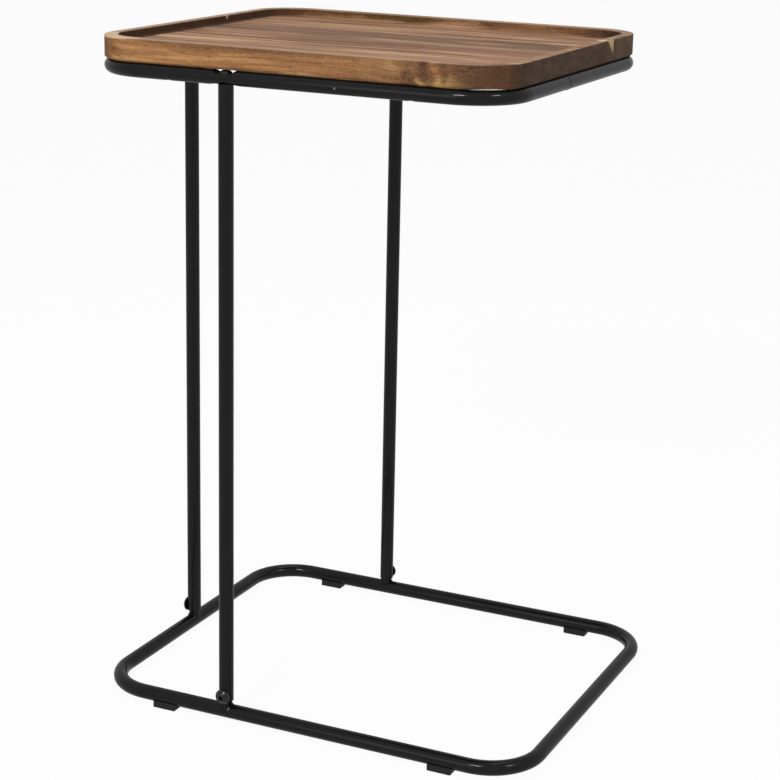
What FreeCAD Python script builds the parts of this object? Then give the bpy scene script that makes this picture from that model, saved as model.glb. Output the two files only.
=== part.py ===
import FreeCAD, Part
import os
from math import acos, asin, cos, radians, sin, sqrt

os.makedirs("parts", exist_ok=True)

# C shaped side table: a wooden tray on a closed loop of bent tube, carried by three uprights
# that stand towards one end of a second loop lying on the floor. Millimetres, +Z up, floor at
# Z = 0, +X towards the open end that slides over a seat. The frame is symmetric about y = 0.

V = FreeCAD.Vector
UP = V(0, 0, 1)

# ---- round steel tube --------------------------------------------------------------------
tube_r = 7.0
tube_wall = 1.2
bend_r = 50.0

# ---- overall layout ----------------------------------------------------------------------
base_half_length = 222.0
loop_half_width = 178.0
top_open_end = 186.0
upright_x = -80.0
foot_drop = 3.8
loop_spacing = 608.0

# ---- tray --------------------------------------------------------------------------------
tray_thickness = 21.0
tray_inset = 3.0
tray_corner_r = 47.0
board_count = 6
end_lip_width = 11.0
side_lip_width = 15.0
well_corner_r = 34.0
well_depth = 8.0
well_floor_fillet = 2.5
lip_round = 0.9
under_chamfer = 1.6

# ---- pressed joint in the upper loop -----------------------------------------------------
dent_depth = 3.4
dent_flat = 13.0
dent_ease = 4.5
seat_depth = 1.2
seat_flat = 15.0
seat_ease = 26.0
press_overrun = 0.3

# ---- lower joint -------------------------------------------------------------------------
stub_clearance = 0.2
stub_rise = 43.5
stub_lead_in = 1.2
neck_gap = 3.5
bead_leg = 1.2
bead_root_drop = 4.0
side_bolt_rise = 9.5
upright_end_chamfer = 0.5

# ---- M6 bolts, threaded inserts and the plug welds that hold them --------------------------
thread_r = 3.0
thread_clearance = 0.05
bolt_hole_r = 3.3
bolt_end_chamfer = 0.8
side_head_r = 7.4
side_head_height = 4.0
side_bolt_length = 12.0
top_head_r = 6.0
top_head_height = 3.1
top_bolt_length = 30.0
hex_across_flats = 4.0
hex_depth = 2.2
insert_length = 20.0
insert_recess = 0.5
fit_clearance = 0.05
plug_r = 1.5
plug_drop = 2.1
plug_proud = 0.4
plug_turn = 45.0

# ---- shape of every domed head, as shares of the head's own radius and height --------------
crown_share = 0.45
rim_share = 0.24

# ---- screws driven upwards, through the upper loop and through the feet --------------------
tray_screw_spread = 120.0
tray_screw_r = 1.95
tray_screw_head_r = 3.0
tray_screw_head_height = 2.2
tray_screw_bite = 10.0
tray_screw_hole_r = 2.1
access_hole_r = 3.4
foot_screw_r = 1.75
foot_screw_head_r = 3.4
foot_screw_head_height = 1.8
foot_screw_length = 7.5
foot_screw_hole_r = 1.9
tip_r = 0.3
tip_length = 2.0
cross_length = 3.6
cross_width = 0.9
cross_depth = 1.2

# ---- feet --------------------------------------------------------------------------------
foot_spread = 146.0
foot_length = 24.0
foot_width = 14.0
foot_cradle = 3.0
foot_corner_r = 1.0
foot_edge_chamfer = 0.5
saddle_clearance = 0.05
foot_recess_depth = 2.4
foot_recess_r = 3.9

# ---- closing weld of the upper loop, ground back where the tray lies on it -----------------
seam_y = -34.0
seam_half_width = 2.2
seam_proud = 0.3
seam_ground_back = 1.0

# ---- places that follow from the sizes above ---------------------------------------------
bore_r = tube_r - tube_wall
stub_r = bore_r - stub_clearance
base_z = foot_drop + tube_r
top_z = base_z + loop_spacing
tray_z = top_z + tube_r
seat_z = top_z - tube_r + seat_depth
dent_z = top_z + tube_r - dent_depth
upright_low_z = base_z + tube_r + neck_gap
stub_top_z = base_z + tube_r + stub_rise
side_bolt_z = base_z + tube_r + side_bolt_rise
through = 2 * tube_r

# Each upright: name, its place on the loops, the way the tube runs there, and the way out.
joints = (
    ("left", V(-base_half_length, 0, 0), V(0, 1, 0), V(-1, 0, 0)),
    ("front", V(upright_x, -loop_half_width, 0), V(1, 0, 0), V(0, -1, 0)),
    ("back", V(upright_x, loop_half_width, 0), V(1, 0, 0), V(0, 1, 0)),
)


def save(node, *solids):
    """Writes one sub-part: a single solid, or a group of identical ones."""
    shape = solids[0] if len(solids) == 1 else Part.makeCompound(list(solids))
    shape.exportStep("parts/" + node + ".step")


def rod(r, low, high):
    """Plain cylinder from one point to another."""
    return Part.makeCylinder(r, (high - low).Length, low, high - low)


def level_edges(shape, z):
    """The edges that lie at one height, such as the rim of a flat face."""
    near = 0.001
    return [e for e in shape.Edges if abs(e.BoundBox.ZMin - z) < near and abs(e.BoundBox.ZMax - z) < near]


def rounded_slab(x_low, x_high, half_width, corner_r, z_low, z_high):
    """Flat slab with four rounded corners."""
    slab = Part.makeBox(x_high - x_low, 2 * half_width, z_high - z_low, V(x_low, -half_width, z_low))
    corners = [e for e in slab.Edges if abs(e.tangentAt(e.FirstParameter).z) > 0.9]
    return slab.makeFillet(corner_r, corners)


def bent_bar(x_low, x_high, z, r):
    """Round bar bent to a closed loop: four straights joined by quarter turns."""
    turn_y = loop_half_width - bend_r
    pieces = []
    for y in (-loop_half_width, loop_half_width):
        pieces.append(rod(r, V(x_low + bend_r, y, z), V(x_high - bend_r, y, z)))
    for x in (x_low, x_high):
        pieces.append(rod(r, V(x, -turn_y, z), V(x, turn_y, z)))
    turns = (
        (x_high - bend_r, turn_y, 0),
        (x_low + bend_r, turn_y, 90),
        (x_low + bend_r, -turn_y, 180),
        (x_high - bend_r, -turn_y, 270),
    )
    for x, y, start in turns:
        turn = Part.makeTorus(bend_r, r, V(0, 0, 0), UP, -180, 180, 90)
        turn.rotate(V(0, 0, 0), UP, start)
        turn.translate(V(x, y, z))
        pieces.append(turn)
    return pieces[0].fuse(pieces[1:]).removeSplitter()


def press_die(nose_point, along, side, flat, depth, ease, skin):
    """Die that dents a tube: a flat nose, then a hollow curve and a shoulder curve at each end.

    nose_point lies on the pressed flat and along runs with the tube. side is 1 for a die from
    above and -1 for one from below. skin sets the die deeper by the wall, for the tube's bore.
    """
    slope = acos(1 - (depth + press_overrun) / (2 * ease))
    half = flat / 2
    shoulder_s = half + 2 * ease * sin(slope)
    shoulder_t = ease - 2 * ease * cos(slope)
    roof_t = depth + through

    def hollow(angle, mirror):
        s = half + (ease + skin) * sin(angle)
        t = ease - (ease + skin) * cos(angle)
        return nose_point + along * (mirror * s) + UP * (side * t)

    def shoulder(angle, mirror):
        s = shoulder_s - (ease - skin) * sin(angle)
        t = shoulder_t + (ease - skin) * cos(angle)
        return nose_point + along * (mirror * s) + UP * (side * t)

    def roof(mirror):
        return nose_point + along * (mirror * shoulder_s) + UP * (side * roof_t)

    edges = [Part.makeLine(hollow(0, -1), hollow(0, 1))]
    for mirror in (1, -1):
        edges.append(Part.Arc(*[hollow(slope * t, mirror) for t in (0, 0.5, 1)]).toShape())
        edges.append(Part.Arc(*[shoulder(slope * t, mirror) for t in (1, 0.5, 0)]).toShape())
        edges.append(Part.makeLine(shoulder(0, mirror), roof(mirror)))
    edges.append(Part.makeLine(roof(1), roof(-1)))
    profile = Part.Face(Part.Wire(Part.__sortEdges__(edges)))
    across = along.cross(UP) * through
    profile.translate(across * -1)
    return profile.extrude(across * 2)


def turned_fastener(shank_r, head_r, head_height, length, end_r, end_length):
    """Domed head standing on the origin with its shank below, turned about the Z axis."""
    crown_r = head_r * crown_share
    rim = head_height * rim_share
    dome_z = (head_r**2 + rim**2 - crown_r**2 - head_height**2) / (2 * (rim - head_height))
    dome_r = sqrt(head_r**2 + (rim - dome_z) ** 2)
    middle_z = (rim + head_height) / 2
    middle_r = sqrt(dome_r**2 - (middle_z - dome_z) ** 2)
    outline = [
        V(crown_r, 0, head_height),
        V(0, 0, head_height),
        V(0, 0, -length),
        V(end_r, 0, -length),
        V(shank_r, 0, end_length - length),
        V(shank_r, 0, 0),
        V(head_r, 0, 0),
        V(head_r, 0, rim),
    ]
    edges = [Part.makeLine(a, b) for a, b in zip(outline, outline[1:])]
    edges.append(Part.Arc(outline[-1], V(middle_r, 0, middle_z), outline[0]).toShape())
    return Part.Face(Part.Wire(edges)).revolve(V(0, 0, 0), UP, 360)


def socket_bolt(seat_point, outward, head_r, head_height, length):
    """M6 button-head bolt with a hexagon socket, its head on seat_point and facing outward."""
    shank_r = thread_r - thread_clearance
    end_r = shank_r - bolt_end_chamfer
    bolt = turned_fastener(shank_r, head_r, head_height, length, end_r, bolt_end_chamfer)
    corner_r = hex_across_flats / sqrt(3)
    angles = [radians(60 * i) for i in range(7)]
    corners = [V(corner_r * cos(a), corner_r * sin(a), head_height - hex_depth) for a in angles]
    socket = Part.Face(Part.makePolygon(corners)).extrude(UP * (2 * hex_depth))
    bolt = bolt.cut(socket)
    bolt.Placement = FreeCAD.Placement(seat_point, FreeCAD.Rotation(UP, outward))
    return bolt


def cross_screw(seat_point, shank_r, head_r, head_height, length):
    """Self-tapping screw driven upwards, the flat of its head on seat_point."""
    screw = turned_fastener(shank_r, head_r, head_height, length, tip_r, tip_length)
    for x_size, y_size in ((cross_length, cross_width), (cross_width, cross_length)):
        corner = V(-x_size / 2, -y_size / 2, head_height - cross_depth)
        screw = screw.cut(Part.makeBox(x_size, y_size, 2 * cross_depth, corner))
    screw.Placement = FreeCAD.Placement(seat_point, FreeCAD.Rotation(V(1, 0, 0), 180))
    return screw


def domed_plug(r, low_z, rim_z, tip_z):
    """Short round plug on the Z axis with a domed top."""
    rise = tip_z - rim_z
    dome_r = (r**2 + rise**2) / (2 * rise)
    half_turn = asin(r / dome_r) / 2
    middle = V(dome_r * sin(half_turn), 0, tip_z - dome_r * (1 - cos(half_turn)))
    outline = [V(0, 0, tip_z), V(0, 0, low_z), V(r, 0, low_z), V(r, 0, rim_z)]
    edges = [Part.makeLine(a, b) for a, b in zip(outline, outline[1:])]
    edges.append(Part.Arc(outline[-1], middle, outline[0]).toShape())
    return Part.Face(Part.Wire(edges)).revolve(V(0, 0, 0), UP, 360)


# ---- upper loop: a bent tube, pressed from above and below where each upright meets it ------
upper_outside = bent_bar(-base_half_length, top_open_end, top_z, tube_r)
upper_bore = bent_bar(-base_half_length, top_open_end, top_z, bore_r)
for name, place, along, outward in joints:
    dent = (place + UP * dent_z, along, 1, dent_flat, dent_depth, dent_ease)
    seat = (place + UP * seat_z, along, -1, seat_flat, seat_depth, seat_ease)
    for pressing in (dent, seat):
        upper_outside = upper_outside.cut(press_die(*pressing, 0))
        upper_bore = upper_bore.cut(press_die(*pressing, tube_wall))
upper_loop = upper_outside.cut(upper_bore)
for name, place, along, outward in joints:
    centre = place + UP * top_z
    upper_loop = upper_loop.cut(rod(bolt_hole_r, centre - UP * through, centre + UP * through))

# The tray screws' heads bear inside the tube, at the height where the bore is as wide as they.
screw_seat_z = top_z + sqrt(bore_r**2 - tray_screw_head_r**2) - fit_clearance
top_middle_x = (top_open_end - base_half_length) / 2
tray_screw_spots = [
    V(top_middle_x + x_side * tray_screw_spread, y_side * loop_half_width, screw_seat_z)
    for x_side in (-1, 1)
    for y_side in (-1, 1)
]
for spot in tray_screw_spots:
    upper_loop = upper_loop.cut(rod(access_hole_r, spot - UP * through, V(spot.x, spot.y, top_z)))
    upper_loop = upper_loop.cut(rod(tray_screw_hole_r, spot, spot + UP * through))
save("upper_loop", upper_loop)

# ---- closing weld of the upper loop: a low ring round the tube ------------------------------
seam_inner_r = tube_r + fit_clearance
seam_root = V(seam_inner_r, -seam_half_width, 0)
seam_crest = V(tube_r + seam_proud, 0, 0)
seam_toe = V(seam_inner_r, seam_half_width, 0)
seam_edges = [Part.Arc(seam_root, seam_crest, seam_toe).toShape(), Part.makeLine(seam_toe, seam_root)]
seam_weld = Part.Face(Part.Wire(seam_edges)).revolve(V(0, 0, 0), V(0, 1, 0), 360)
seam_weld.translate(V(top_open_end, seam_y, top_z))
ground_corner = V(top_open_end - through, seam_y - through, tray_z - seam_ground_back)
seam_weld = seam_weld.cut(Part.makeBox(2 * through, 2 * through, through, ground_corner))
save("upper_loop_seam_weld", seam_weld)

# ---- base loop: a bent tube with a screw hole above each foot --------------------------------
foot_spots = {
    "front_left": V(-foot_spread, -loop_half_width, 0),
    "front_right": V(foot_spread, -loop_half_width, 0),
    "back_left": V(-foot_spread, loop_half_width, 0),
    "back_right": V(foot_spread, loop_half_width, 0),
}
base_outside = bent_bar(-base_half_length, base_half_length, base_z, tube_r)
base_loop = base_outside.cut(bent_bar(-base_half_length, base_half_length, base_z, bore_r))
for spot in foot_spots.values():
    base_loop = base_loop.cut(rod(foot_screw_hole_r, spot, spot + UP * base_z))
save("base_loop", base_loop)

# ---- feet: moulded blocks that cradle the tube, each held by a screw from below --------------
foot_top = foot_drop + foot_cradle
foot_screws = []
for name, spot in foot_spots.items():
    foot = Part.makeBox(foot_length, foot_width, foot_top, spot - V(foot_length / 2, foot_width / 2, 0))
    corners = [e for e in foot.Edges if abs(e.tangentAt(e.FirstParameter).z) > 0.9]
    foot = foot.makeFillet(foot_corner_r, corners)
    foot = foot.makeChamfer(foot_edge_chamfer, level_edges(foot, 0))
    centre = spot + UP * base_z
    past_the_end = V(foot_length, 0, 0)
    foot = foot.cut(rod(tube_r + saddle_clearance, centre - past_the_end, centre + past_the_end))
    screw_seat = spot + UP * foot_recess_depth
    foot = foot.cut(rod(foot_recess_r, spot, screw_seat))
    foot = foot.cut(rod(foot_screw_hole_r, spot, spot + UP * foot_top))
    save("foot_" + name, foot)
    foot_screws.append(
        cross_screw(screw_seat, foot_screw_r, foot_screw_head_r, foot_screw_head_height, foot_screw_length)
    )
save("foot_screws", *foot_screws)

# ---- stubs coped over the base loop, and the weld bead round the foot of each ----------------
stub_welds = []
for name, place, along, outward in joints:
    centre = place + UP * base_z
    reach = along * bend_r
    tube_here = rod(tube_r, centre - reach, centre + reach)
    stub_blank = rod(stub_r, centre, place + UP * stub_top_z)
    stub = stub_blank.makeChamfer(stub_lead_in, level_edges(stub_blank, stub_top_z)).cut(tube_here)
    bolt_line = place + UP * side_bolt_z
    stub = stub.cut(rod(thread_r, bolt_line - outward * through, bolt_line + outward * through))
    save("base_stub_" + name, stub)
    collar = rod(stub_r + bead_leg, centre + UP * (tube_r - bead_root_drop), centre + UP * through)
    bead = collar.common(rod(tube_r + bead_leg, centre - reach, centre + reach))
    stub_welds.append(bead.cut(tube_here).cut(stub_blank))
save("stub_welds", *stub_welds)

# ---- uprights, the threaded inserts in their tops and the plug welds that hold these ---------
plug_welds = []
for name, place, along, outward in joints:
    low = place + UP * upright_low_z
    high = place + UP * seat_z
    upright = rod(tube_r, low, high)
    upright = upright.makeChamfer(upright_end_chamfer, level_edges(upright, upright_low_z))
    upright = upright.cut(rod(bore_r, low, high))
    bolt_line = place + UP * side_bolt_z
    upright = upright.cut(rod(bolt_hole_r, bolt_line, bolt_line + outward * through))
    plug_out = FreeCAD.Rotation(UP, plug_turn).multVec(outward)
    plug_line = high - UP * plug_drop
    upright = upright.cut(rod(plug_r, plug_line, plug_line + plug_out * through))
    save("upright_" + name, upright)

    insert_top = high - UP * insert_recess
    insert_low = insert_top - UP * insert_length
    insert = rod(bore_r - fit_clearance, insert_low, insert_top).cut(rod(thread_r, insert_low, insert_top))
    save("top_insert_" + name, insert)

    plug = domed_plug(plug_r - fit_clearance, bore_r, tube_r, tube_r + plug_proud)
    plug.Placement = FreeCAD.Placement(plug_line, FreeCAD.Rotation(UP, plug_out))
    plug_welds.append(plug)
save("insert_plug_welds", *plug_welds)

# ---- joint bolts: down through the upper loop, and sideways through the uprights -------------
top_bolts = []
side_bolts = []
for name, place, along, outward in joints:
    top_seat = place + UP * dent_z
    top_bolts.append(socket_bolt(top_seat, UP, top_head_r, top_head_height, top_bolt_length))
    side_seat = place + UP * side_bolt_z + outward * tube_r
    side_bolts.append(socket_bolt(side_seat, outward, side_head_r, side_head_height, side_bolt_length))
save("top_bolts", *top_bolts)
save("side_bolts", *side_bolts)

# ---- tray: one glued-up blank with a sunken floor, then given as its separate boards ---------
tray_low_x = -base_half_length - tube_r + tray_inset
tray_high_x = top_open_end + tube_r - tray_inset
tray_half_width = loop_half_width + tube_r - tray_inset
tray_top_z = tray_z + tray_thickness
well_z = tray_top_z - well_depth
blank = rounded_slab(tray_low_x, tray_high_x, tray_half_width, tray_corner_r, tray_z, tray_top_z)
well = rounded_slab(
    tray_low_x + end_lip_width,
    tray_high_x - end_lip_width,
    tray_half_width - side_lip_width,
    well_corner_r,
    well_z,
    tray_top_z + well_depth,
)
well = well.makeFillet(well_floor_fillet, level_edges(well, well_z))
tray = blank.cut(well)
tray = tray.makeFillet(lip_round, level_edges(tray, tray_top_z))
tray = tray.makeChamfer(under_chamfer, level_edges(tray, tray_z))
for spot in tray_screw_spots:
    mouth = V(spot.x, spot.y, tray_z)
    tray = tray.cut(rod(tray_screw_r + fit_clearance, mouth, mouth + UP * tray_screw_bite))
board_width = 2 * tray_half_width / board_count
for i in range(board_count):
    board_corner = V(tray_low_x, i * board_width - tray_half_width, tray_z)
    board_space = Part.makeBox(tray_high_x - tray_low_x, board_width, tray_thickness, board_corner)
    save("tray_board_%d" % (i + 1), tray.common(board_space))

# ---- tray screws: up through the loop and into blind holes in the outer boards ---------------
tray_screw_length = tray_z + tray_screw_bite - fit_clearance - screw_seat_z
tray_screws = [
    cross_screw(spot, tray_screw_r, tray_screw_head_r, tray_screw_head_height, tray_screw_length)
    for spot in tray_screw_spots
]
save("tray_screws", *tray_screws)
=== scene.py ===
import math

import bmesh
import bpy
from mathutils import Matrix, Vector

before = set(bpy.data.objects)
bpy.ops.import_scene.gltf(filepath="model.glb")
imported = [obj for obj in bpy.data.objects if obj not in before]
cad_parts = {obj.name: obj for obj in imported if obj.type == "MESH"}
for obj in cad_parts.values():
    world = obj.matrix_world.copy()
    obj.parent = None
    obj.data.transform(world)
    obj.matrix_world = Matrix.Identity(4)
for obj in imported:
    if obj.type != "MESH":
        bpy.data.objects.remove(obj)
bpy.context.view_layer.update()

# ---- base loop -------------------------------------------------------------------------------
# The lower loop of round steel tube, bent from one length and lying just clear of the floor.
# It is powder coated satin black after welding, so the coat has a faint orange peel all over.
# A painted glint, a small pale spot, sits on it beside the front stub's weld.


def node(tree, kind, inputs=None, **settings):
    """Adds one shader node. Each input is a number, a colour or another node's output."""
    made = tree.nodes.new("ShaderNode" + kind)
    for key, value in settings.items():
        setattr(made, key, value)
    for key, value in (inputs or {}).items():
        if isinstance(value, bpy.types.NodeSocket):
            tree.links.new(value, made.inputs[key])
        else:
            made.inputs[key].default_value = value
    return made


def maths(tree, operation, *values):
    """One sum on numbers or on outputs."""
    return node(tree, "Math", dict(enumerate(values)), operation=operation).outputs[0]


def between(tree, value, low, high, at_low=0.0, at_high=1.0):
    """Takes a range of one value smoothly to a range of another, and holds it at both ends."""
    inputs = {"Value": value, "From Min": low, "From Max": high, "To Min": at_low, "To Max": at_high}
    return node(tree, "MapRange", inputs, interpolation_type="SMOOTHSTEP").outputs[0]


def mottle(tree, place, per_metre, shift=0.0, detail=2.0, rough=0.5):
    """Soft random field, with its own number of grains per metre along x, y and z."""
    moved = (shift, 1.7 * shift, 2.3 * shift)
    spot = node(tree, "Mapping", {"Vector": place, "Location": moved, "Scale": per_metre})
    inputs = {"Vector": spot.outputs[0], "Scale": 1.0, "Detail": detail, "Roughness": rough}
    return node(tree, "TexNoise", inputs).outputs[0]


def screen(red, green, blue):
    """A colour as a screen shows it, 0 to 255, turned into the light that it stands for."""
    shares = [c / 255 for c in (red, green, blue)]
    light = [s / 12.92 if s <= 0.04045 else ((s + 0.055) / 1.055) ** 2.4 for s in shares]
    return (*light, 1.0)


def tints(tree, value, *stops):
    """Blends through several screen colours, each at its place from 0 to 1."""
    ramp = node(tree, "ValToRGB", {0: value})
    points = ramp.color_ramp.elements
    while len(points) < len(stops):
        points.new(1.0)
    for point, (place, colour) in zip(points, stops):
        point.position = place
        point.color = screen(*colour)
    return ramp.outputs[0]


def blend(tree, share, first, second, mode="MIX"):
    """Mixes two colours. The node keeps its two colours at 6 and 7 and the mixed one at 2."""
    mix = node(tree, "Mix", {0: share, 6: first, 7: second}, data_type="RGBA", blend_type=mode)
    return mix.outputs[2]


def finish_of(name):
    """A new material with its surface shader and the piece's own coordinates."""
    material = bpy.data.materials.new(name)
    material.use_nodes = True
    tree = material.node_tree
    return material, tree, tree.nodes["Principled BSDF"], node(tree, "TexCoord")


def cover(tree, surface, colour, roughness, shine=0.5):
    """Joins a colour and a roughness to the surface. shine is how strongly it mirrors."""
    tree.links.new(colour, surface.inputs["Base Color"])
    tree.links.new(roughness, surface.inputs["Roughness"])
    surface.inputs["Specular IOR Level"].default_value = shine


def relief(tree, surface, height, depth):
    """Presses a height field into the surface, with its full depth in metres."""
    bump = node(tree, "Bump", {"Height": height, "Distance": depth, "Strength": 1.0})
    tree.links.new(bump.outputs[0], surface.inputs["Normal"])
    tree.links.new(bump.outputs[0], surface.inputs["Coat Normal"])


def dress(name, material):
    """Gives one piece its finish."""
    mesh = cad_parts[name].data
    mesh.materials.clear()
    mesh.materials.append(material)


def tint_patch(tree, place, colour, tone, middle, reach, share, soft):
    """Tints one patch of a piece. middle and reach are in millimetres along x, y and z."""
    shift = [-m / r for m, r in zip(middle, reach)]
    scale = [1000.0 / r for r in reach]
    spot = node(tree, "Mapping", {"Vector": place, "Location": shift, "Scale": scale})
    away = node(tree, "VectorMath", {0: spot.outputs[0]}, operation="LENGTH").outputs["Value"]
    return blend(tree, between(tree, away, 1.0, 1.0 - soft, 0.0, share), colour, screen(*tone))


def powder_coat(name, ripple_axis=None, chip_or_glint=None, gloss=0.15):
    """Satin black coat. Over a weld it follows the ripples of the bead. A chip bares the steel; the base
    loop's pale spot is a painted glint.
    """
    material, tree, surface, coords = finish_of(name)
    place = coords.outputs["Object"]
    cloud = mottle(tree, place, (14, 14, 14), detail=3)
    peel = mottle(tree, place, (620, 620, 620), shift=3.1, detail=1)
    colour = tints(tree, cloud, (0.3, (9, 9, 10)), (0.7, (14, 14, 15)))
    if chip_or_glint is not None:
        # The pale spot is bare steel where it marks a chip, and a painted glint on the base loop.
        bare_steel_or_glint = (150, 150, 150)
        chip_or_glint_reach = (0.9, 9, 1.5)
        colour = tint_patch(tree, place, colour, bare_steel_or_glint, chip_or_glint, chip_or_glint_reach, share=0.7, soft=0.6)
    cover(tree, surface, colour, between(tree, cloud, 0.3, 0.7, 0.4, 0.5), shine=0.01)
    surface.inputs["Coat Weight"].default_value = 0.325
    surface.inputs["Coat Roughness"].default_value = gloss
    height = peel
    depth = 0.00003
    if ripple_axis is not None:
        radians_per_metre = 5200.0
        waver = 6.0
        depth = 0.0004
        part = node(tree, "SeparateXYZ", {0: place}).outputs[ripple_axis]
        part = maths(tree, "MULTIPLY", part, radians_per_metre)
        ripples = maths(tree, "SINE", maths(tree, "MULTIPLY_ADD", cloud, waver, part))
        height = maths(tree, "ADD", maths(tree, "MULTIPLY", ripples, 0.5), peel)
    relief(tree, surface, height, depth)
    return material


coat = powder_coat("satin black powder coat")
# The pale spot on the base loop is a painted glint beside the front stub's weld.
dress("base_loop", powder_coat("black powder coat with painted glint", chip_or_glint=(-74.8, -183.5, 15.2)))

# ---- stubs on the base loop ------------------------------------------------------------------
# Short narrower tubes coped over the base loop and welded to it. The uprights slip over them.
# The weld bead round each foot keeps its ripples under the coat.
for name in ("base_stub_left", "base_stub_front", "base_stub_back"):
    dress(name, coat)
dress("stub_welds", powder_coat("coat over stub welds", ripple_axis=2, gloss=0.12))

# ---- feet ------------------------------------------------------------------------------------
# Low black plastic blocks that cradle the base loop. They are injection moulded, with a fine
# spark-eroded grain, and each is held by one screw from below.
plastic, tree, surface, coords = finish_of("moulded black plastic")
place = coords.outputs["Object"]
grain = mottle(tree, place, (2400, 2400, 2400), detail=2)
grain_depth = 0.00008
flow = mottle(tree, place, (90, 90, 90), shift=5.0)
colour = tints(tree, flow, (0.3, (22, 22, 22)), (0.7, (29, 29, 30)))
cover(tree, surface, colour, between(tree, grain, 0.3, 0.7, 0.58, 0.72), shine=0.2)
relief(tree, surface, grain, grain_depth)
for name in ("foot_front_left", "foot_front_right", "foot_back_left", "foot_back_right"):
    dress(name, plastic)

# ---- foot screws -----------------------------------------------------------------------------
# Cross-recessed steel screws, driven up through the feet into the base loop. They are zinc
# plated and dull, with the fine marks of turning.
zinc, tree, surface, coords = finish_of("dull zinc plate")
place = coords.outputs["Object"]
spangle = mottle(tree, place, (700, 700, 700), detail=3)
turning = mottle(tree, place, (500, 500, 5200), shift=2.0, detail=1)
turning_depth = 0.00003
colour = tints(tree, spangle, (0.3, (176, 178, 182)), (0.7, (204, 205, 208)))
cover(tree, surface, colour, between(tree, spangle, 0.3, 0.7, 0.3, 0.44))
surface.inputs["Metallic"].default_value = 1.0
relief(tree, surface, turning, turning_depth)
dress("foot_screws", zinc)

# ---- uprights, their inserts and the plug welds ----------------------------------------------
# Three straight steel tubes with the same coat. A zinc-plated threaded insert sits in each top
# end, held by a plug weld that shows as a small bump on the tube.
for name in ("upright_left", "upright_front", "upright_back"):
    dress(name, coat)
for name in ("top_insert_left", "top_insert_front", "top_insert_back"):
    dress(name, zinc)
dress("insert_plug_welds", powder_coat("coat over plug welds", ripple_axis=0, gloss=0.12))

# ---- upper loop ------------------------------------------------------------------------------
# The loop of bent tube that carries the tray. It has the base loop's coat, and its closing
# weld was ground back before coating, so that only a low smooth ring is left. One small chip
# in the front of its coat shows the bare steel.
dress("upper_loop", powder_coat("chipped black powder coat", chip_or_glint=(31.2, -185, 618.1)))
dress("upper_loop_seam_weld", coat)

# ---- bolts -----------------------------------------------------------------------------------
# Socket button-head bolts of blackened steel. The heads are a little glossier than the coat,
# with fine rings left by turning.
black_steel, tree, surface, coords = finish_of("blackened steel")
place = coords.outputs["Object"]
smear = mottle(tree, place, (260, 260, 260), detail=3)
rings = mottle(tree, place, (2600, 2600, 2600), shift=4.0, detail=1)
ring_depth = 0.00002
colour = tints(tree, smear, (0.3, (10, 10, 11)), (0.7, (17, 17, 18)))
cover(tree, surface, colour, between(tree, smear, 0.3, 0.7, 0.1, 0.2), shine=0.3)
relief(tree, surface, rings, ring_depth)
for name in ("top_bolts", "side_bolts"):
    dress(name, black_steel)

# ---- tray boards -----------------------------------------------------------------------------
# Six boards of oiled acacia, edge-glued and routed as one blank: a sunken floor, a raised lip
# and rounded corners. The grain runs along the table and each board comes from its own log.


def wander(tree, place, start, per_metre, detail, reach):
    """Moves a place at random, by half its reach along x, y and z at the most."""
    spot = node(tree, "Mapping", {"Vector": place, "Location": start, "Scale": per_metre})
    inputs = {"Vector": spot.outputs[0], "Scale": 1.0, "Detail": detail}
    field = node(tree, "TexNoise", inputs).outputs["Color"]
    field = node(tree, "VectorMath", {0: field, 1: (0.5, 0.5, 0.5)}, operation="SUBTRACT").outputs[0]
    return node(tree, "VectorMath", {0: field, 1: reach, 2: place}, operation="MULTIPLY_ADD").outputs[0]


def growth_rings(tree, place, pith, seed):
    """Light and dark years round the pith, which lies at a y and a z in millimetres."""
    years_per_metre = 170.0
    _, y, z = node(tree, "SeparateXYZ", {0: place}).outputs
    off_y = maths(tree, "SUBTRACT", y, pith[0] / 1000)
    off_z = maths(tree, "SUBTRACT", z, pith[1] / 1000)
    square_y = maths(tree, "MULTIPLY", off_y, off_y)
    square_z = maths(tree, "MULTIPLY", off_z, off_z)
    radius = maths(tree, "SQRT", maths(tree, "ADD", square_y, square_z))
    years = maths(tree, "MULTIPLY_ADD", radius, years_per_metre, seed)
    inputs = {"W": years, "Scale": 1.0, "Detail": 3.0, "Roughness": 0.6}
    return node(tree, "TexNoise", inputs, noise_dimensions="1D").outputs[0]


def sapwood_wedge(tree, along, across, height, edge, tip, slope):
    """A wedge on the right end. It stands on its tip, straight on one side, sloping on the other."""
    slant = maths(tree, "MULTIPLY_ADD", height, -slope, edge + tip * slope)
    wedge = between(tree, maths(tree, "SUBTRACT", across, slant), -0.001, 0.0018)
    wedge = maths(tree, "MULTIPLY", wedge, between(tree, across, edge, edge + 0.0008, 1.0, 0.0))
    wedge = maths(tree, "MULTIPLY", wedge, between(tree, height, tip - 0.004, tip + 0.012))
    return maths(tree, "MULTIPLY", wedge, maths(tree, "GREATER_THAN", along, 0.0))


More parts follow.
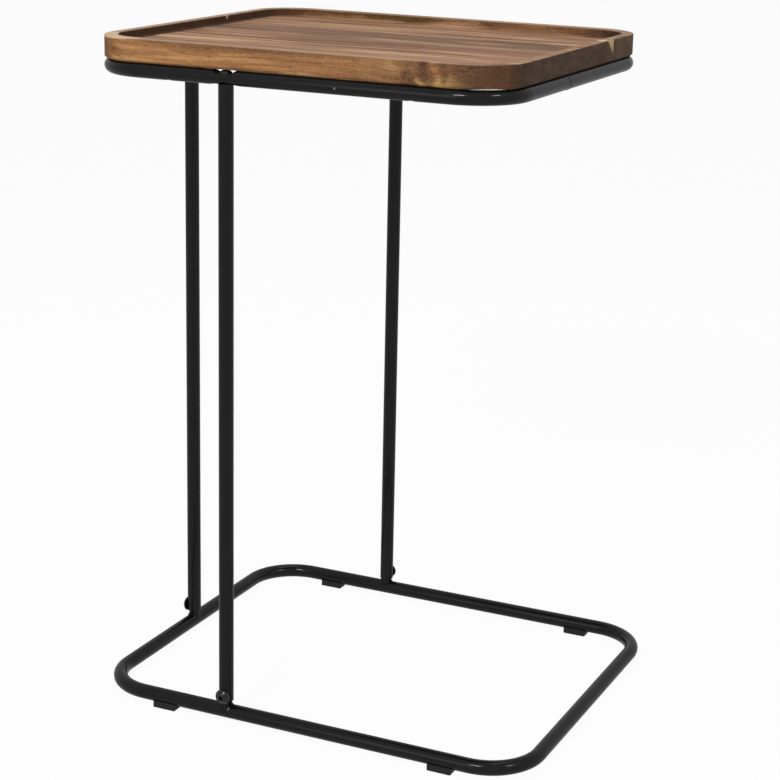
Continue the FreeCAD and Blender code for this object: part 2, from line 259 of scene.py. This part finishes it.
def oiled_wood(name, seed, pith, top_tones, end_tones, stains_and_painted_light, sapwood):
    """Wood of one board. Its seed picks its figure. sapwood is a wedge's edge, tip and slope, or None."""
    material, tree, surface, coords = finish_of(name)
    straight = coords.outputs["Object"]
    waved = wander(tree, straight, (seed, 0, 0), (9, 22, 22), 2.0, (0.0, 0.010, 0.010))
    ragged = wander(tree, straight, (0, seed, 0), (45, 130, 130), 3.0, (0.016, 0.009, 0.009))
    along, across, height = node(tree, "SeparateXYZ", {0: straight}).outputs
    face_x, face_y, face_z = node(tree, "SeparateXYZ", {0: coords.outputs["Normal"]}).outputs
    up = between(tree, face_z, 0.4, 0.8)
    beside = between(tree, face_z, 0.6, 0.2)
    end_on = maths(tree, "ABSOLUTE", face_x)

    # Long grain, with one set of tones at the sides and paler, greyer ones on top that are partly painted
    # sheen, and browner towards the ends.
    rings = growth_rings(tree, waved, pith, seed)
    streaks = mottle(tree, waved, (5, 110, 110), shift=seed + 1.3, detail=3, rough=0.6)
    figure = maths(tree, "MULTIPLY_ADD", streaks, 0.6, maths(tree, "MULTIPLY", rings, 0.4))
    colour = blend(tree, up, tints(tree, figure, *side_tones), tints(tree, figure, *top_tones))
    turned = between(tree, end_on, 0.3, 0.8, 0.0, 0.8)
    colour = blend(tree, turned, colour, screen(98, 65, 42))

    # End grain, dark with oil, with the rays and the patches of the log across the rings.
    patches = mottle(tree, straight, (30, 60, 80), shift=seed + 5.9, detail=3)
    rays = mottle(tree, waved, (60, 330, 50), shift=seed + 7.3, detail=3)
    figure = maths(tree, "MULTIPLY_ADD", rings, 0.25, maths(tree, "MULTIPLY", patches, 0.5))
    figure = maths(tree, "MULTIPLY_ADD", rays, 0.25, figure)
    square_on = maths(tree, "SUBTRACT", end_on, maths(tree, "ABSOLUTE", face_y))
    end_share = between(tree, square_on, 0.24, 0.42)
    colour = blend(tree, end_share, colour, tints(tree, figure, *end_tones))

    # Painted shade on the routed wall round the floor, which lies in the tray's own shade, at the ends more
    # than at the sides.
    tray_middle_x = -0.018
    outward = maths(tree, "MULTIPLY", face_x, maths(tree, "SUBTRACT", along, tray_middle_x))
    outward = maths(tree, "MULTIPLY_ADD", face_y, across, outward)
    wall_shade = between(tree, outward, -0.19, -0.175, 0.85, 0.44)
    wall_shade = between(tree, outward, -0.05, -0.02, wall_shade, 0.0)
    colour = blend(tree, wall_shade, colour, screen(68, 45, 33))

    # Stains, and painted light where a board has it. A thin one has a clean edge, and the others fade out
    # along the ragged grain.
    thin_mm = 5
    for tone, middle, reach, share in stains_and_painted_light:
        if min(reach) < thin_mm:
            colour = tint_patch(tree, straight, colour, tone, middle, reach, share, soft=0.25)
        else:
            colour = tint_patch(tree, ragged, colour, tone, middle, reach, share, soft=0.65)
    if sapwood is not None:
        wedge = maths(tree, "MULTIPLY", sapwood_wedge(tree, along, across, height, *sapwood), end_share)
        colour = blend(tree, wedge, colour, screen(190, 169, 122))

    # Fine fibres, dark pores and light flecks, the last two stronger on the upright faces.
    fibres = mottle(tree, waved, (17, 560, 560), shift=seed + 2.7, detail=4, rough=0.65)
    colour = blend(tree, 1.0, colour, between(tree, fibres, 0.28, 0.72, 0.74, 1.26), "MULTIPLY")
    pores = mottle(tree, straight, (110, 1150, 1150), shift=seed + 4.1, detail=2, rough=0.6)
    pores = between(tree, pores, 0.56, 0.68, 0.0, maths(tree, "MULTIPLY_ADD", beside, 0.3, 0.2))
    colour = blend(tree, pores, colour, screen(80, 50, 32))
    flecks = mottle(tree, straight, (480, 1400, 1400), shift=seed + 6.6, detail=2, rough=0.6)
    flecks = between(tree, flecks, 0.5, 0.74, 0.0, maths(tree, "MULTIPLY_ADD", beside, 0.22, 0.08))
    flecks = maths(tree, "MULTIPLY", flecks, between(tree, end_on, 0.15, 0.5, 1.0, 0.2))
    colour = blend(tree, flecks, colour, screen(206, 168, 122))

    # The lip's upper edge is paler, most at the left end and hardly at the right one.
    lip_paling = between(tree, along, -0.2235, -0.2205, 0.8, 0.25)
    lip_paling = between(tree, along, 0.165, 0.18, lip_paling, 0.05)
    lip_paling = maths(tree, "MULTIPLY", up, between(tree, height, 0.6460, 0.6466, 0.0, lip_paling))
    colour = blend(tree, lip_paling, colour, screen(208, 180, 152))

    cover(tree, surface, colour, between(tree, fibres, 0.3, 0.7, 0.6, 0.74), shine=0.1)
    fibre_depth = 0.00012
    pore_height = -1.5
    relief(tree, surface, maths(tree, "MULTIPLY_ADD", pores, pore_height, fibres), fibre_depth)
    return material


warm_tops = ((0.38, (101, 69, 47)), (0.48, (143, 106, 79)), (0.56, (167, 129, 100)), (0.64, (198, 161, 129)))
brown_tops = ((0.38, (92, 65, 47)), (0.48, (128, 94, 71)), (0.56, (150, 114, 89)), (0.64, (173, 137, 110)))
side_tones = ((0.38, (99, 62, 40)), (0.47, (131, 89, 56)), (0.55, (153, 108, 68)), (0.64, (175, 131, 86)))
dark_ends = ((0.4, (54, 38, 27)), (0.5, (65, 47, 35)), (0.6, (77, 56, 42)))
pale_ends = ((0.4, (62, 46, 33)), (0.5, (78, 60, 44)), (0.6, (94, 74, 54)))

# A stain is its screen colour, its middle and its reach in millimetres, and its strength. These
# are the front edge's: long bands first, then the knotty part on the right and the corners, and
# one painted highlight on the lower edge at the front right corner.
front_stains_and_painted_light = (
    ((104, 72, 50), (-60, -182, 649), (170, 9, 11), 0.7),
    ((164, 128, 86), (-10, -182, 624), (190, 9, 5), 0.7),
    ((134, 102, 66), (70, -182, 637), (32, 9, 12), 0.6),
    ((156, 124, 84), (83, -182, 641), (8, 9, 8), 0.5),
    ((178, 144, 88), (136, -182, 629), (30, 9, 8), 0.75),
    ((186, 146, 92), (110, -182, 628), (5, 9, 8), 0.7),
    ((116, 79, 53), (140, -182, 643), (26, 9, 8), 0.8),
    ((108, 72, 48), (104, -182, 645), (22, 9, 8), 0.7),
    ((74, 47, 33), (112, -182, 643), (10, 9, 17), 0.9),
    ((86, 56, 39), (98, -182, 632), (11, 9, 15), 0.85),
    ((90, 58, 38), (119, -182, 632), (7, 9, 11), 0.7),
    ((88, 57, 38), (133, -182, 638), (5.5, 9, 14), 0.7),
    ((158, 126, 72), (158, -182, 639), (10, 9, 3), 0.5),
    ((78, 52, 36), (168, -178, 636), (42, 40, 46), 0.9),
    # Painted highlight: a near-white line along the tray's lower edge at the front right corner.
    ((244, 238, 228), (172, -176, 624.2), (24, 24, 3.0), 1.0),
    ((110, 70, 42), (-110, -182, 641), (36, 9, 6), 0.5),
    ((214, 190, 158), (-205, -165, 648), (45, 32, 3.2), 0.8),
)

# Each board from front to back: its seed, its pith's y and z in millimetres, the tones of its
# top and of its ends, its stains and painted light, and the sapwood wedge in metres where it has one.
boards = (
    ("tray_board_1", 1.9, (-150, 520), warm_tops, dark_ends, front_stains_and_painted_light, None),
    ("tray_board_2", 14.2, (-80, 560), warm_tops, dark_ends, (
        ((120, 90, 66), (-60, -77, 639), (60, 4, 6), 0.6),
        ((172, 124, 102), (146, -88, 639), (52, 22, 8), 0.5),
    ), None),
    ("tray_board_3", 23.5, (-20, 570), warm_tops, dark_ends, (
        ((98, 70, 50), (0, -21, 639), (130, 11, 8), 0.75),
        ((166, 118, 96), (132, -48, 639), (40, 20, 8), 0.5),
    ), None),
    ("tray_board_4", 37.8, (50, 555), brown_tops, dark_ends, (
        ((104, 84, 60), (22, 44, 639), (62, 17, 8), 0.65),
        ((104, 76, 56), (-70, 16, 639), (48, 19, 8), 0.6),
        ((164, 124, 100), (-10, 5, 639), (36, 8, 8), 0.6),
        ((100, 72, 48), (100, 62, 639), (110, 12, 8), 0.7),
        ((200, 178, 142), (-215, 58, 646), (4, 2.4, 3.4), 0.9),
    ), None),
    ("tray_board_5", 41.1, (110, 565), warm_tops, dark_ends, (
        ((100, 72, 50), (-20, 62, 639), (220, 9, 8), 0.7),
        ((182, 146, 104), (-90, 105, 639), (110, 20, 8), 0.45),
        ((94, 66, 43), (110, 66, 639), (100, 14, 8), 0.75),
        ((92, 73, 52), (190, 104, 636), (8, 20, 40), 0.7),
        ((216, 184, 150), (146, 83, 639), (34, 5, 6), 0.75),
        ((232, 202, 165), (183.5, 71, 649), (7, 15, 5), 0.95),
        ((190, 160, 118), (184, 91, 649), (8, 20, 5), 0.75),
    ), (0.0846, 0.632, 1.07)),
    ("tray_board_6", 58.6, (150, 540), warm_tops, pale_ends, (
        ((90, 60, 41), (-60, 168, 649), (300, 6, 5), 0.5),
        ((82, 58, 32), (-110, 167, 645), (90, 8, 4.9), 0.6),
        ((78, 57, 30), (-62, 167, 644), (24, 8, 6), 0.7),
        ((178, 136, 104), (-8, 167, 641), (44, 9, 7), 0.7),
        ((160, 120, 90), (-120, 167, 639), (80, 9, 5), 0.6),
        ((150, 112, 80), (70, 167, 641), (50, 9, 6), 0.5),
        ((66, 46, 36), (160, 166, 642), (54, 20, 6.5), 0.85),
    ), None),
)
for name, seed, pith, top_tones, end_tones, stains_and_painted_light, sapwood in boards:
    dress(name, oiled_wood("oiled acacia of " + name, seed, pith, top_tones, end_tones, stains_and_painted_light, sapwood))

# ---- tray screws -----------------------------------------------------------------------------
# Four small blackened screws, driven up through the upper loop into the two outer boards.
# Their pan heads bear inside the tube and are reached through a hole below each.
dress("tray_screws", black_steel)

# ---- studio ----------------------------------------------------------------------------------
# A pale floor that runs out of sight, and soft light: a lamp in front, a weaker one on the
# right, a large dim one low on the left, one overhead, and a plain pale room all round.


def seen_by_eye(tree):
    """1 on rays that the eye follows, straight, mirrored or let through, and 0 on lighting rays."""
    rays = node(tree, "LightPath").outputs
    seen = maths(tree, "MAXIMUM", rays["Is Glossy Ray"], rays["Is Transmission Ray"])
    return maths(tree, "MAXIMUM", rays["Is Camera Ray"], seen)


def lamp(name, place, width, height, power):
    """Soft light of an oblong panel, turned towards the middle of the table."""
    light = bpy.data.lights.new(name, "AREA")
    light.shape = "RECTANGLE"
    light.size = width
    light.size_y = height
    light.energy = power
    holder = bpy.data.objects.new(name, light)
    holder.location = place
    towards = Vector((0, 0, 0.5)) - Vector(place)
    holder.rotation_euler = towards.to_track_quat("-Z", "Y").to_euler()
    bpy.context.scene.collection.objects.link(holder)


white = (1, 1, 1, 1)
floor_mesh = bpy.data.meshes.new("studio_floor")
sheet = bmesh.new()
bmesh.ops.create_grid(sheet, x_segments=1, y_segments=1, size=40.0)
sheet.to_mesh(floor_mesh)
sheet.free()
floor = bpy.data.objects.new("studio_floor", floor_mesh)
bpy.context.scene.collection.objects.link(floor)
paper = bpy.data.materials.new("pale paper")
paper.use_nodes = True
tree = paper.node_tree
tree.nodes.remove(tree.nodes["Principled BSDF"])
glow_share = maths(tree, "MULTIPLY", seen_by_eye(tree), 0.95)
matt = node(tree, "BsdfDiffuse", {"Color": (0.86, 0.86, 0.86, 1)})
glow = node(tree, "Emission", {"Color": white, "Strength": 1.0})
lit = node(tree, "MixShader", {0: glow_share, 1: matt.outputs[0], 2: glow.outputs[0]})
tree.links.new(lit.outputs[0], tree.nodes["Material Output"].inputs["Surface"])
floor_mesh.materials.append(paper)

room = bpy.data.worlds.new("pale room")
bpy.context.scene.world = room
room.use_nodes = True
tree = room.node_tree
light_level = 0.3
seen_level = 1.0
level = between(tree, seen_by_eye(tree), 0.0, 1.0, light_level, seen_level)
tree.links.new(level, tree.nodes["Background"].inputs["Strength"])
tree.nodes["Background"].inputs["Color"].default_value = white

lamp("front lamp", (0.05, -2.24, 1.91), width=0.7, height=0.2, power=33)
lamp("side lamp", (2.09, -0.82, 1.91), width=0.45, height=0.25, power=14)
lamp("low lamp", (-0.5, -2.2, 0.9), width=1.0, height=1.0, power=5)
lamp("overhead lamp", (0, 0.3, 3.0), width=1.2, height=1.2, power=15)

# ---- camera ----------------------------------------------------------------------------------
# Stands in front and to the right of the table, a little above the tray, turned down and
# leaning by a degree and a half. The lens's axis lies right of the view's middle and above it.
turn = 0.41854
tip = 0.24302
roll = 0.02474
focus_px = 1982.555
axis_px = (430.0, 310.0)
width_px = 780.0
forward = Vector((-math.sin(turn) * math.cos(tip), math.cos(turn) * math.cos(tip), -math.sin(tip)))
level_right = Vector((math.cos(turn), math.sin(turn), 0))
level_up = level_right.cross(forward)
right = math.cos(roll) * level_right + math.sin(roll) * level_up
up = -math.sin(roll) * level_right + math.cos(roll) * level_up
lens = bpy.data.cameras.new("camera")
lens.sensor_width = 36.0
lens.lens = lens.sensor_width * focus_px / width_px
lens.shift_x = (width_px / 2 - axis_px[0]) / width_px
lens.shift_y = (axis_px[1] - width_px / 2) / width_px
lens.clip_end = 200
camera = bpy.data.objects.new("camera", lens)
camera.matrix_world = Matrix((right, up, -forward)).transposed().to_4x4()
camera.location = (0.80242, -1.70452, 0.84580)
bpy.context.scene.collection.objects.link(camera)
bpy.context.scene.camera = camera
bpy.context.scene.view_settings.view_transform = "Standard"
